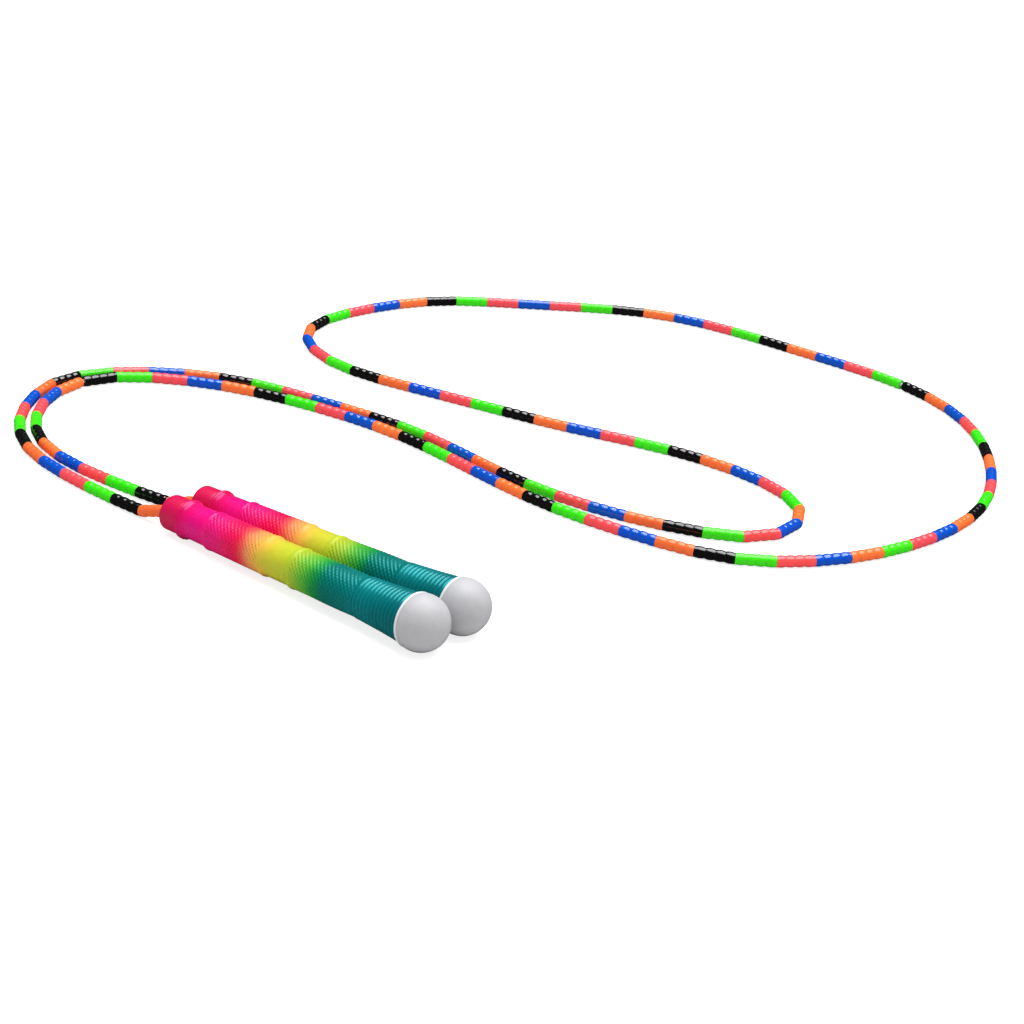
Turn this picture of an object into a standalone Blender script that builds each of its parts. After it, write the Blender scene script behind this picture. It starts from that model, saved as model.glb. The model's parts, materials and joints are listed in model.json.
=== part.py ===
"""A beaded jump rope with two long handles, lying on a floor at z = 0, in metres.

The handles lie side by side along X, their ball ends at +X and their mouths at -X.
The rope leaves one mouth, runs round the floor in loose loops and goes into the other.
"""

import math

import bmesh
import bpy
import numpy as np
from mathutils import Vector

# ---- Driving dimensions ------------------------------------------------------------

GAP = 0.0003  # kept between solids that touch on the real object

# Cord and beads
BEAD_COUNT = 127
BEAD_RADIUS = 0.0038
BORE_RADIUS = 0.0019
CORD_RADIUS = 0.0015
WIDE_GAP = 0.0030  # bare cord that shows after each bead in WIDE_GAP_AFTER
WIDE_GAP_AFTER = (76, 116)
MOUTH_GAPS = (0.0014, 0.0014)  # bare cord between each mouth and its nearest bead
ROPE_SIDES = 2  # bevel resolution, which gives eight sides
MOST_IN_RUN = 6  # beads joined in one solid
RUN_COLOURS = ("bead_orange", "bead_black", "bead_green", "bead_coral", "bead_blue")

# Handle: s is the distance from the mouth's face along the handle's own axis
BALL_RADIUS = 0.0165
BALL_S = 0.2065  # centre of the ball
HANDLE_STEPS = 24  # sides of a turned part
RIM_S, RIM_RADIUS, RIM_WIDTH = 0.2010, 0.0162, 0.0018
SHELL_WALL = 0.0022  # of the hollow ball
COLLAR_LENGTH, COLLAR_RADIUS, COLLAR_ROUND = 0.0142, 0.0109, 0.0012
CORD_HOLE_RADIUS = 0.0024
COLLAR_WALL = 0.0030  # the mouth's end wall
GRIP_BORE_RADIUS = 0.0086
SPIGOT_RADIUS, SPIGOT_BORE_RADIUS = 0.0083, 0.0063
SPIGOT_LENGTH = 0.0110
BALL_SPIGOT_LENGTH = 0.0150
WASHER_RADIUS, WASHER_HOLE_RADIUS, WASHER_THICK = 0.0052, 0.0020, 0.0010
KNOT_RADIUS, KNOT_LENGTH = 0.0042, 0.0080

# Outer shape of the grip from its front lip to its ball end, as (s, radius)
LIP_S, LIP_RADIUS = 0.0160, 0.01225
GRIP_END = RIM_S - GAP
GRIP_OUTLINE = (
    (COLLAR_LENGTH + GAP, 0.0110),  # front edge
    (0.0150, 0.0120),  # narrow front lip
    (LIP_S, LIP_RADIUS),
    (0.0170, 0.0120),
    (0.0183, 0.0110),
    (0.0197, 0.0107),
    (0.0384, 0.0109),  # smooth band
    (0.0391, 0.0119),  # first thin ring
    (0.0401, 0.0120),
    (0.0408, 0.0117),
    (0.0862, 0.0121),  # first knurled length
    (0.0869, 0.0124),  # second ring
    (0.0879, 0.0124),
    (0.0888, 0.0116),
    (0.1098, 0.0117),  # smooth middle band
    (0.1107, 0.0124),  # third ring
    (0.1120, 0.0125),
    (0.1128, 0.0120),
    (0.1260, 0.0121),  # second knurled length
    (0.1400, 0.0124),
    (0.1510, 0.0124),
    (0.1636, 0.0122),
    (0.1643, 0.0126),
    (0.1845, 0.0138),  # ribbed length, which flares
    (GRIP_END - 0.0008, 0.0151),
    (GRIP_END, 0.0148),
)

# How the two handles lie: each rests on its ball and on its front lip
BALL_Y = 0.0168  # half the distance between the balls' centres
LIP_Y = 0.0125  # half the distance between the lips' centres
MOUTH_X = -0.1113

# Route of the rope's centreline on the floor, from one mouth to the other
MOUTH_Y = LIP_Y - (BALL_Y - LIP_Y) * LIP_S / (BALL_S - LIP_S)
MOUTH_Z = LIP_RADIUS - (BALL_RADIUS - LIP_RADIUS) * LIP_S / (BALL_S - LIP_S)
ROUTE = (
    (MOUTH_X, -MOUTH_Y),
    (-0.2116, -0.0111),
    (-0.2579, -0.0016),
    (-0.3358, 0.0662),
    (-0.3474, 0.0942),
    (-0.2963, 0.1855),
    (-0.2076, 0.2147),
    (-0.1294, 0.2235),
    (-0.0366, 0.2130),
    (0.0833, 0.2334),
    (0.1265, 0.2690),
    (0.1223, 0.3111),
    (0.0201, 0.3444),
    (-0.0735, 0.3179),
    (-0.1783, 0.2917),
    (-0.2713, 0.2811),
    (-0.3283, 0.3164),
    (-0.3400, 0.3983),
    (-0.3223, 0.4575),
    (-0.2777, 0.5090),
    (-0.1964, 0.5803),
    (-0.0763, 0.5993),
    (0.0283, 0.5963),
    (0.0670, 0.5816),
    (0.1507, 0.5011),
    (0.1903, 0.4155),
    (0.1933, 0.3359),
    (0.1716, 0.2655),
    (0.1352, 0.2226),
    (0.0790, 0.2032),
    (-0.0034, 0.1963),
    (-0.1297, 0.2103),
    (-0.2299, 0.1975),
    (-0.3035, 0.1630),
    (-0.3350, 0.1233),
    (-0.2689, 0.0154),
    (-0.1941, 0.0036),
    (MOUTH_X, MOUTH_Y),
)
DROOP_LENGTH = 0.030  # the rope comes down to the floor over this length

# How much longer than the mean a bead's place on the route is, at some bead numbers
SPACING = (
    (1, 0.002),
    (8, 0.0),
    (14, 0.015),
    (20, -0.027),
    (31, 0.008),
    (46, -0.011),
    (55, 0.023),
    (61, 0.0),
    (73, 0.028),
    (77, 0.043),
    (87, -0.033),
    (97, 0.014),
    (106, -0.033),
    (115, 0.008),
    (121, 0.0),
    (127, 0.007),
)

COLOURS = {  # linear RGB, roughness, metallic
    "bead_orange": ((1.00, 0.17, 0.03), 0.25, 0.0),
    "bead_black": ((0.01, 0.01, 0.01), 0.25, 0.0),
    "bead_green": ((0.05, 0.68, 0.01), 0.25, 0.0),
    "bead_coral": ((1.00, 0.08, 0.12), 0.25, 0.0),
    "bead_blue": ((0.00, 0.08, 0.58), 0.25, 0.0),
    "cord": ((0.85, 0.85, 0.83), 0.70, 0.0),
    "grip": ((0.60, 0.10, 0.25), 0.40, 0.0),
    "collar": ((0.72, 0.01, 0.12), 0.35, 0.0),
    "ball_cap": ((0.82, 0.82, 0.84), 0.35, 0.0),
    "washer": ((0.60, 0.60, 0.60), 0.35, 1.0),
}


# ---- Helpers -----------------------------------------------------------------------


def clear_scene():
    for old in list(bpy.data.objects):
        bpy.data.objects.remove(old, do_unlink=True)


def new_material(name):
    colour, roughness, metallic = COLOURS[name]
    material = bpy.data.materials.new(name)
    material.use_nodes = True
    shader = material.node_tree.nodes["Principled BSDF"]
    shader.inputs["Base Color"].default_value = (*colour, 1.0)
    shader.inputs["Roughness"].default_value = roughness
    shader.inputs["Metallic"].default_value = metallic
    material.diffuse_color = (*colour, 1.0)
    return material


def add_object(name, data, material):
    made = bpy.data.objects.new(name, data)
    data.materials.append(material)
    parts.objects.link(made)
    return made


def turned(name, profile, material):
    """A solid of revolution about local Z from a closed profile of (s, radius).

    The profile runs down the outer side first, from the ball's end to the mouth's.
    """
    mesh = bpy.data.meshes.new(name)
    corners = [(radius, 0.0, s) for s, radius in profile]
    edges = [(i, (i + 1) % len(corners)) for i in range(len(corners))]
    on_axis = [i for i, (_, radius) in enumerate(profile) if radius == 0.0]
    if len(on_axis) == 2:  # no edge runs along the axis itself
        edges.remove((on_axis[1], on_axis[0]) if on_axis[0] == 0 else tuple(on_axis))
    mesh.from_pydata(corners, edges, [])
    made = add_object(name, mesh, material)
    screw = made.modifiers.new("turn", "SCREW")
    screw.axis = "Z"
    screw.steps = screw.render_steps = HANDLE_STEPS
    screw.use_merge_vertices = True
    screw.merge_threshold = 0.00001
    screw.use_smooth_shade = True
    return made


def arc(centre_s, radius, start, end, count):
    """Points (s, r) on a circle centred on the axis, by angle from the +s direction."""
    angles = [start + (end - start) * i / (count - 1) for i in range(count)]
    return [(centre_s + radius * math.cos(a), radius * math.sin(a)) for a in angles]


def smooth_curve(points, per_span):
    """A natural cubic spline through the points, sampled per_span times a span."""
    points = np.array(points, float)
    knots = np.concatenate([[0], np.cumsum(np.linalg.norm(np.diff(points, axis=0), axis=1))])
    spans, count = np.diff(knots), len(points)
    system, right = np.eye(count), np.zeros_like(points)
    for k in range(1, count - 1):
        before, after = spans[k - 1], spans[k]
        system[k, k - 1 : k + 2] = before, 2 * (before + after), after
        slopes = (points[k + 1] - points[k]) / after - (points[k] - points[k - 1]) / before
        right[k] = 6 * slopes
    bend = np.linalg.solve(system, right)
    samples = []
    for k, span in enumerate(spans):
        done = np.linspace(0, span, per_span, endpoint=False)[:, None]
        left = span - done
        curved = (bend[k] * left**3 + bend[k + 1] * done**3) / (6 * span)
        start = points[k] / span - bend[k] * span / 6
        end = points[k + 1] / span - bend[k + 1] * span / 6
        samples.append(curved + start * left + end * done)
    return np.vstack([*samples, points[-1:]])


def lengths_along(line):
    return np.concatenate([[0], np.cumsum(np.linalg.norm(np.diff(line, axis=0), axis=1))])


def droop(along, total):
    """Height of the rope's centre, which comes down from each mouth to the floor."""
    left = np.clip(np.minimum(along, total - along) / DROOP_LENGTH, 0, 1)
    return BEAD_RADIUS + (MOUTH_Z - BEAD_RADIUS) * (1 - left) ** 2 * (1 + 2 * left)


def bead_ends():
    """The two ends of each bead's centreline, along the smooth route."""
    line = smooth_curve(ROUTE, 60)
    along = lengths_along(line)
    total = along[-1]
    bare = sum(MOUTH_GAPS) + WIDE_GAP * len(WIDE_GAP_AFTER)
    shares = 1 + np.interp(np.arange(1, BEAD_COUNT + 1), *zip(*SPACING))
    lengths = (total - bare) * shares / shares.sum()
    place, spans = MOUTH_GAPS[0], []
    for bead, length in enumerate(lengths, 1):
        spans.append((place, place + length))
        place += length + (WIDE_GAP if bead in WIDE_GAP_AFTER else 0.0)

    def at(distance):
        x, y = (np.interp(distance, along, line[:, k]) for k in range(2))
        return Vector((float(x), float(y), float(droop(distance, total))))

    return [(at(start), at(end)) for start, end in spans]


def tube(name, points, radius, material, capped):
    """A round tube along straight stretches between the points."""
    curve = bpy.data.curves.new(name, "CURVE")
    curve.dimensions = "3D"
    curve.twist_mode = "Z_UP"
    curve.bevel_depth = radius
    curve.bevel_resolution = ROPE_SIDES
    curve.use_fill_caps = capped
    spline = curve.splines.new("POLY")
    spline.points.add(len(points) - 1)
    for point, place in zip(spline.points, points):
        point.co = (*place, 1.0)
    return add_object(name, curve, material)


# ---- Rope --------------------------------------------------------------------------


def bead_runs():
    """First and last bead of each solid, numbered from 1 at the front mouth.

    The beads between two bare stretches of cord are shared out evenly.
    """
    runs, first = [], 1
    for last in (*WIDE_GAP_AFTER, BEAD_COUNT):
        count = last - first + 1
        shares = math.ceil(count / MOST_IN_RUN)
        starts = [first + count * k // shares for k in range(shares + 1)]
        runs += [(start, after - 1) for start, after in zip(starts, starts[1:])]
        first = last + 1
    return runs


def turn_between(first, second):
    return (first[1] - first[0]).angle(second[1] - second[0])


def trimmed_ends(beads, first, last):
    """Centreline of beads first to last, pulled back at both ends to clear the neighbours."""
    points = [beads[first - 1][0]] + [beads[i - 1][1] for i in range(first, last + 1)]
    start, end = beads[first - 1], beads[last - 1]
    for index, other, own in ((0, first - 2, start), (-1, last, end)):
        turn = turn_between(own, beads[other]) if 0 <= other < BEAD_COUNT else 0.0
        trim = BEAD_RADIUS * math.tan(turn / 2) + GAP / 2
        inward = (own[1] - own[0]).normalized() * (1 if index == 0 else -1)
        points[index] = points[index] + inward * trim
    return points


def build_beads(beads):
    for number, (first, last) in enumerate(bead_runs()):
        points = trimmed_ends(beads, first, last)
        material = materials[RUN_COLOURS[number % len(RUN_COLOURS)]]
        run = tube(f"beads_{first:03d}_to_{last:03d}", points, BEAD_RADIUS, material, capped=False)
        wall = run.modifiers.new("bore", "SOLIDIFY")
        wall.thickness = BEAD_RADIUS - BORE_RADIUS
        wall.offset = -1
        wall.use_even_offset = True


def build_cord(beads, handles):
    """One cord through every bead, which ends just short of the stopper knots."""
    points = [start for start, _ in beads] + [beads[-1][1]]
    for bead in sorted(WIDE_GAP_AFTER, reverse=True):
        points.insert(bead, beads[bead - 1][1])
    inside = Vector((0, 0, COLLAR_WALL + GAP + WASHER_THICK))
    front, back = (handle.matrix_world for handle in handles)
    points = [front @ inside, front @ Vector(), *points, back @ Vector(), back @ inside]
    tube("cord", points, CORD_RADIUS, materials["cord"], capped=True)


# ---- Handles -----------------------------------------------------------------------


def handle_empty(name, side):
    """An empty at a mouth's centre whose local Z runs along that handle's axis."""
    mouth = Vector((MOUTH_X, side * MOUTH_Y, MOUTH_Z))
    reach = BALL_S
    rise, spread = BALL_RADIUS - MOUTH_Z, side * (BALL_Y - MOUTH_Y)
    axis = Vector((math.sqrt(reach**2 - rise**2 - spread**2), spread, rise))
    made = bpy.data.objects.new(name, None)
    made.empty_display_size = 0.02
    made.location = mouth
    made.rotation_mode = "QUATERNION"
    made.rotation_quaternion = axis.to_track_quat("Z", "Y")
    parts.objects.link(made)
    bpy.context.view_layer.update()
    return made


def collar_profile():
    spigot_end = COLLAR_LENGTH + SPIGOT_LENGTH
    outer = COLLAR_RADIUS - COLLAR_ROUND
    return [
        (spigot_end, SPIGOT_BORE_RADIUS),
        (spigot_end, SPIGOT_RADIUS - 0.0004),
        (spigot_end - 0.0006, SPIGOT_RADIUS),
        (COLLAR_LENGTH, SPIGOT_RADIUS),
        (COLLAR_LENGTH, COLLAR_RADIUS - 0.0003),
        (COLLAR_LENGTH - 0.0003, COLLAR_RADIUS),
        (COLLAR_ROUND, COLLAR_RADIUS),
        (COLLAR_ROUND * 0.3, outer + COLLAR_ROUND * 0.7),
        (0.0, outer),
        (0.0, CORD_HOLE_RADIUS),
        (COLLAR_WALL, CORD_HOLE_RADIUS),
        (COLLAR_WALL, SPIGOT_BORE_RADIUS),
    ]


def grip_profile():
    inner = [(COLLAR_LENGTH + GAP, GRIP_BORE_RADIUS), (GRIP_END, GRIP_BORE_RADIUS)]
    return list(reversed(GRIP_OUTLINE)) + inner


def ball_profile():
    rim_end = RIM_S + RIM_WIDTH
    start = math.acos((rim_end - BALL_S) / BALL_RADIUS)
    ball = arc(BALL_S, BALL_RADIUS, 0.0, start, 12)
    inside = BALL_RADIUS - SHELL_WALL
    mouth = math.pi - math.asin(SPIGOT_BORE_RADIUS / inside)
    hollow = arc(BALL_S, inside, mouth, 0.0, 7)
    spigot_end = RIM_S - BALL_SPIGOT_LENGTH
    ball[0], hollow[-1] = (BALL_S + BALL_RADIUS, 0.0), (BALL_S + inside, 0.0)
    return [
        *ball,
        (rim_end, RIM_RADIUS),
        (RIM_S, RIM_RADIUS),
        (RIM_S, SPIGOT_RADIUS),
        (spigot_end, SPIGOT_RADIUS),
        (spigot_end, SPIGOT_BORE_RADIUS),
        *hollow,
    ]


def washer_profile():
    near, far = COLLAR_WALL + GAP, COLLAR_WALL + GAP + WASHER_THICK
    return [
        (far, WASHER_HOLE_RADIUS),
        (far, WASHER_RADIUS),
        (near, WASHER_RADIUS),
        (near, WASHER_HOLE_RADIUS),
    ]


def build_knot(name):
    """The cord's end knot, drawn tight, seen as one rounded lump."""
    mesh = bpy.data.meshes.new(name)
    lump = bmesh.new()
    bmesh.ops.create_uvsphere(lump, u_segments=16, v_segments=10, radius=1.0)
    bmesh.ops.scale(lump, vec=(KNOT_RADIUS, KNOT_RADIUS, KNOT_LENGTH / 2), verts=lump.verts)
    lump.to_mesh(mesh)
    lump.free()
    mesh.shade_smooth()
    made = add_object(name, mesh, materials["cord"])
    made.location.z = COLLAR_WALL + WASHER_THICK + 3 * GAP + KNOT_LENGTH / 2
    return made


def build_handle(letter, side):
    empty = handle_empty(f"handle_{letter}_axis", side)
    pieces = [
        turned(f"grip_{letter}", grip_profile(), materials["grip"]),
        turned(f"collar_{letter}", collar_profile(), materials["collar"]),
        turned(f"ball_cap_{letter}", ball_profile(), materials["ball_cap"]),
        turned(f"washer_{letter}", washer_profile(), materials["washer"]),
        build_knot(f"stopper_knot_{letter}"),
    ]
    for piece in pieces:
        piece.parent = empty
    return empty


# ---- Build -------------------------------------------------------------------------

clear_scene()
parts = bpy.data.collections.new("jump_rope")
bpy.context.scene.collection.children.link(parts)
materials = {name: new_material(name) for name in COLOURS}

rope_beads = bead_ends()
both_handles = [build_handle("a", -1), build_handle("b", 1)]
build_beads(rope_beads)
build_cord(rope_beads, both_handles)
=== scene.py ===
"""Looks of a beaded jump rope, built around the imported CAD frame, in metres."""

import json
import math
import random

import bpy
import numpy as np
from mathutils import Matrix, Vector

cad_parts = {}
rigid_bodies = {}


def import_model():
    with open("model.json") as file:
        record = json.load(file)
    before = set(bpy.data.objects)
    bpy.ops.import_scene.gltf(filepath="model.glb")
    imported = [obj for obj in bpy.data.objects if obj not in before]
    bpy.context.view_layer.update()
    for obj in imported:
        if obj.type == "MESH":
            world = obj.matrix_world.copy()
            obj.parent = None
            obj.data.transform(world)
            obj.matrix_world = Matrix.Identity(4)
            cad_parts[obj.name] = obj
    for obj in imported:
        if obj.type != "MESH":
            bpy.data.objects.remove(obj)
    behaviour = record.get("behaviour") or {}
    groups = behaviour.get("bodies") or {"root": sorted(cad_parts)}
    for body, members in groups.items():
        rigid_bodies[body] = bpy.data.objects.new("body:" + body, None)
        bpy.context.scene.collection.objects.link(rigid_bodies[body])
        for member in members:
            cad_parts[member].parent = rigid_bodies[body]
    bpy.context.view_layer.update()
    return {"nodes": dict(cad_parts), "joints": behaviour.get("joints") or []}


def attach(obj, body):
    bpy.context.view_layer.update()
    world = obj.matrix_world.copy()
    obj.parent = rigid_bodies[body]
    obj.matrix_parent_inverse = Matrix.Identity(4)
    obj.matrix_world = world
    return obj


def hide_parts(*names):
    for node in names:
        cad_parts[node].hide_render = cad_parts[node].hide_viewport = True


for old in list(bpy.data.objects):
    bpy.data.objects.remove(old, do_unlink=True)

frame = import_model()
random.seed(7)

# ---- Sizes, the same as the CAD's ----------------------------------------------------

BEAD_COUNT = 127
BEAD_RADIUS = 0.0038
BORE_RADIUS = 0.0019
CORD_RADIUS = 0.0015
WIDE_GAP = 0.0030
WIDE_GAP_AFTER = (76, 116)
MOUTH_GAPS = (0.0014, 0.0014)
MOST_IN_RUN = 6
DROOP_LENGTH = 0.030
MOUTH_X, MOUTH_Y, MOUTH_Z = -0.1113, 0.0121389, 0.0118930
ROUTE = (
    (MOUTH_X, -MOUTH_Y),
    (-0.2116, -0.0111),
    (-0.2579, -0.0016),
    (-0.3358, 0.0662),
    (-0.3474, 0.0942),
    (-0.2963, 0.1855),
    (-0.2076, 0.2147),
    (-0.1294, 0.2235),
    (-0.0366, 0.2130),
    (0.0833, 0.2334),
    (0.1265, 0.2690),
    (0.1223, 0.3111),
    (0.0201, 0.3444),
    (-0.0735, 0.3179),
    (-0.1783, 0.2917),
    (-0.2713, 0.2811),
    (-0.3283, 0.3164),
    (-0.3400, 0.3983),
    (-0.3223, 0.4575),
    (-0.2777, 0.5090),
    (-0.1964, 0.5803),
    (-0.0763, 0.5993),
    (0.0283, 0.5963),
    (0.0670, 0.5816),
    (0.1507, 0.5011),
    (0.1903, 0.4155),
    (0.1933, 0.3359),
    (0.1716, 0.2655),
    (0.1352, 0.2226),
    (0.0790, 0.2032),
    (-0.0034, 0.1963),
    (-0.1297, 0.2103),
    (-0.2299, 0.1975),
    (-0.3035, 0.1630),
    (-0.3350, 0.1233),
    (-0.2689, 0.0154),
    (-0.1941, 0.0036),
    (MOUTH_X, MOUTH_Y),
)

# How much longer than the mean a bead's place on the route is, at some bead numbers
SPACING = (
    (1, 0.002),
    (8, 0.0),
    (14, 0.015),
    (20, -0.027),
    (31, 0.008),
    (46, -0.011),
    (55, 0.023),
    (61, 0.0),
    (73, 0.028),
    (77, 0.043),
    (87, -0.033),
    (97, 0.014),
    (106, -0.033),
    (115, 0.008),
    (121, 0.0),
    (127, 0.007),
)
ROUTE_SAMPLES = 60  # points of the smooth curve to each span of the route

# Beads: their colours mirror about the middle one
HALF = "OKGCB" * 7 + "O" + "GCBOK" * 5 + "GC"
BEAD_COLOURS = HALF + "B" + HALF[::-1]
BULGES = 4  # rings along a bead
GROOVE_RADIUS = 0.00332
BEAD_END_RADIUS = 0.00358
BEAD_EDGE = 0.00022  # rounding of a bead's ends
JOINT_GAP = 0.00006  # between two beads that touch
MITRE_REACH = 0.0040  # how far from its end a bead gives to a bend
BEAD_SHIFT = 0.00008  # how far beside the route's line a bead may lie
BORE_LEAD_IN = 0.0002
BEAD_SIDES = 28
BULGE_STEPS = 9
BULGE_POWER = 0.9  # under 1, so a bulge is fuller than a sine
BEAD_CORNER_STEPS = 4
BEAD_END_CREST, BEAD_CORNER_CREST = 0.55, 0.5  # on the scale of groove 0 to bulge 1, which also sets the painted groove shade
BEAD_SHARP = math.radians(55)  # faces that meet at more than this show an edge

# Handle, by s, the distance from the mouth along its axis
HANDLE_SIDES = 192
COLLAR_LENGTH, COLLAR_RADIUS = 0.0142, 0.0109
CORD_HOLE_RADIUS = 0.0024
COLLAR_WALL = 0.0030
GRIP_BORE_RADIUS = 0.0086
SPIGOT_RADIUS, SPIGOT_BORE_RADIUS, SPIGOT_LENGTH = 0.0083, 0.0063, 0.0110
WASHER_END = 0.0043
KNOT_MIDDLE = 0.0089
BALL_S, BALL_RADIUS = 0.2065, 0.0165
RIM_S, RIM_RADIUS, RIM_WIDTH = 0.2010, 0.0162, 0.0018
SHELL_WALL = 0.0022
BALL_SPIGOT_LENGTH = 0.0150
GAP = 0.0003
GRIP_START, GRIP_END = COLLAR_LENGTH + GAP, RIM_S - GAP
KNURLS = ((0.0409, 0.0861), (0.1129, 0.1636))
KNURL_STARTS = 24
KNURL_PITCH = 0.0030
KNURL_DEPTH = 0.00040
CROSS_RIDGE = 0.62  # height of the ridges that cross the main ones, as a share
RIBS_START, RIBS_END, RIB_COUNT = 0.1643, 0.1998, 12
RIB_DEPTH = 0.00055
KNURL_FADE = 0.0006  # length in which a knurl rises from its ends
KNURL_POWER, RIB_POWER = 1.4, 0.8  # over 1 a crest is narrower than a sine, under 1 fuller
KNURL_STEPS, RIB_STEPS = 8, 9  # rings of points to a pitch of the knurl and to a rib
PLAIN_BANDS, BAND_STEPS = ((0.0200, 0.0381), (0.0897, 0.1093)), 13
LEAST_RING_STEP = 0.00012
GRIP_SHARP = math.radians(60)

# Turned pieces
TURNED_SIDES, BALL_SIDES = 96, 128
TURNED_SHARP = math.radians(50)
COLLAR_ROUNDING, ROUNDING_STEPS = 0.0012, 6
ROUNDED_SHARE = 0.45  # the most of a side that a rounded corner takes
RIM_FRONT = (  # (distance from the face, distance under the rim's radius)
    (0.0, 0.0006),
    (0.0001, 0.0003),
    (0.0003, 0.0001),
    (0.0006, 0.0),
)
RIM_BACK = ((0.0006, 0.0), (0.0003, 0.0001), (0.0001, 0.0003), (0.0, 0.0005))
BALL_STEPS, HOLLOW_STEPS = 64, 24
BALL_START = 0.0001  # from the rim's back to the ball's first ring
POLE_RADIUS = 0.00002  # radius of the tiny ring in which a ball ends on its axis


# ---- Camera --------------------------------------------------------------------------

LENS, SENSOR_WIDTH = 84.10, 36.0  # millimetres
CAMERA_CLIP = (0.05, 60.0)
CAMERA_PLACE = (0.86944, -0.90857, 0.56380)
CAMERA_FORWARD = (-0.58154, 0.72180, -0.37529)
CAMERA_ROLL = math.radians(5.32)


def build_camera():
    data = bpy.data.cameras.new("camera")
    data.sensor_width, data.lens = SENSOR_WIDTH, LENS
    data.clip_start, data.clip_end = CAMERA_CLIP
    camera = bpy.data.objects.new("camera", data)
    bpy.context.scene.collection.objects.link(camera)
    forward = Vector(CAMERA_FORWARD).normalized()
    level = forward.cross(Vector((0, 0, 1))).normalized()
    upright = level.cross(forward)
    right = level * math.cos(CAMERA_ROLL) + upright * math.sin(CAMERA_ROLL)
    up = upright * math.cos(CAMERA_ROLL) - level * math.sin(CAMERA_ROLL)
    turn = Matrix((right, up, -forward)).transposed().to_4x4()
    camera.matrix_world = Matrix.Translation(CAMERA_PLACE) @ turn
    bpy.context.scene.camera = camera


# ---- Mesh helpers --------------------------------------------------------------------


def add_mesh(name, points, faces, materials, indices=None, smooth=True):
    mesh = bpy.data.meshes.new(name)
    corners = [tuple(int(i) for i in face) for face in faces]
    mesh.from_pydata([tuple(p) for p in points], [], corners)
    for material in materials:
        mesh.materials.append(material)
    if indices is not None:
        mesh.polygons.foreach_set("material_index", np.asarray(indices, np.int32))
    if smooth:
        mesh.shade_smooth()
    mesh.validate()
    mesh.update()
    made = bpy.data.objects.new(name, mesh)
    bpy.context.scene.collection.objects.link(made)
    return made


def add_attribute(obj, name, values):
    attribute = obj.data.attributes.new(name, "FLOAT", "POINT")
    attribute.data.foreach_set("value", np.asarray(values, np.float32))


def grid_faces(rings, sides, closed):
    """Quads between rings of points; closed also joins the last ring to the first."""
    starts = np.arange(rings if closed else rings - 1)
    i, j = np.meshgrid(starts, np.arange(sides), indexing="ij")
    i, j = i.ravel(), j.ravel()
    after, beside = (i + 1) % rings, (j + 1) % sides
    corners = (i * sides + j, i * sides + beside, after * sides + beside, after * sides + j)
    return np.stack(corners, 1)


def circle(sides):
    angles = 2 * np.pi * np.arange(sides) / sides
    return np.cos(angles), np.sin(angles)


def lathe(profile, sides):
    """Points of a closed (s, r) profile turned about local Z, and its outward faces."""
    profile = np.array(profile, float)
    across, up = circle(sides)
    s, r = profile[:, :1], profile[:, 1:2]
    rings = np.stack([r * across, r * up, np.repeat(s, sides, 1)], 2)
    return rings.reshape(-1, 3), grid_faces(len(profile), sides, True)


def distances(line):
    """How far along the line each of its points is."""
    steps = np.linalg.norm(np.diff(line, axis=0), axis=1)
    return np.concatenate([[0], np.cumsum(steps)])


# ---- Rope's route --------------------------------------------------------------------


def smooth_curve(points, per_span):
    """A natural cubic spline through the points, sampled per_span times a span."""
    points = np.array(points, float)
    spans, count = np.diff(distances(points)), len(points)
    system, right = np.eye(count), np.zeros_like(points)
    for k in range(1, count - 1):
        before, after = spans[k - 1], spans[k]
        system[k, k - 1 : k + 2] = before, 2 * (before + after), after
        slope_after = (points[k + 1] - points[k]) / after
        slope_before = (points[k] - points[k - 1]) / before
        right[k] = 6 * (slope_after - slope_before)
    bend = np.linalg.solve(system, right)
    samples = []
    for k, span in enumerate(spans):
        done = np.linspace(0, span, per_span, endpoint=False)[:, None]
        left = span - done
        curved = (bend[k] * left**3 + bend[k + 1] * done**3) / (6 * span)
        start = points[k] / span - bend[k] * span / 6
        end = points[k + 1] / span - bend[k + 1] * span / 6
        samples.append(curved + start * left + end * done)
    return np.vstack([*samples, points[-1:]])


def droop(along, total):
    """Height of the rope's centre, which comes down from each mouth to the floor."""
    left = np.clip(np.minimum(along, total - along) / DROOP_LENGTH, 0, 1)
    return BEAD_RADIUS + (MOUTH_Z - BEAD_RADIUS) * (1 - left) ** 2 * (1 + 2 * left)


def bead_ends():
    """The two ends of each bead's centreline, along the smooth route."""
    line = smooth_curve(ROUTE, ROUTE_SAMPLES)
    along = distances(line)
    total = along[-1]
    bare = sum(MOUTH_GAPS) + WIDE_GAP * len(WIDE_GAP_AFTER)
    shares = 1 + np.interp(np.arange(1, BEAD_COUNT + 1), *zip(*SPACING))
    lengths = (total - bare) * shares / shares.sum()
    place, spans = MOUTH_GAPS[0], []
    for bead, length in enumerate(lengths, 1):
        spans.append((place, place + length))
        place += length + (WIDE_GAP if bead in WIDE_GAP_AFTER else 0.0)

    def at(distance):
        x, y = (np.interp(distance, along, line[:, k]) for k in range(2))
        return Vector((float(x), float(y), float(droop(distance, total))))

    return [(at(start), at(end)) for start, end in spans]


def bead_runs():
    """First and last bead of each run, as the CAD joins them."""
    runs, first = [], 1
    for last in (*WIDE_GAP_AFTER, BEAD_COUNT):
        count = last - first + 1
        shares = math.ceil(count / MOST_IN_RUN)
        starts = [first + count * k // shares for k in range(shares + 1)]
        runs += [(start, after - 1) for start, after in zip(starts, starts[1:])]
        first = last + 1
    return runs


# ---- Material helpers ----------------------------------------------------------------


NOISE_SPAN = (0.3, 0.7)  # where most of a noise's values lie


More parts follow.
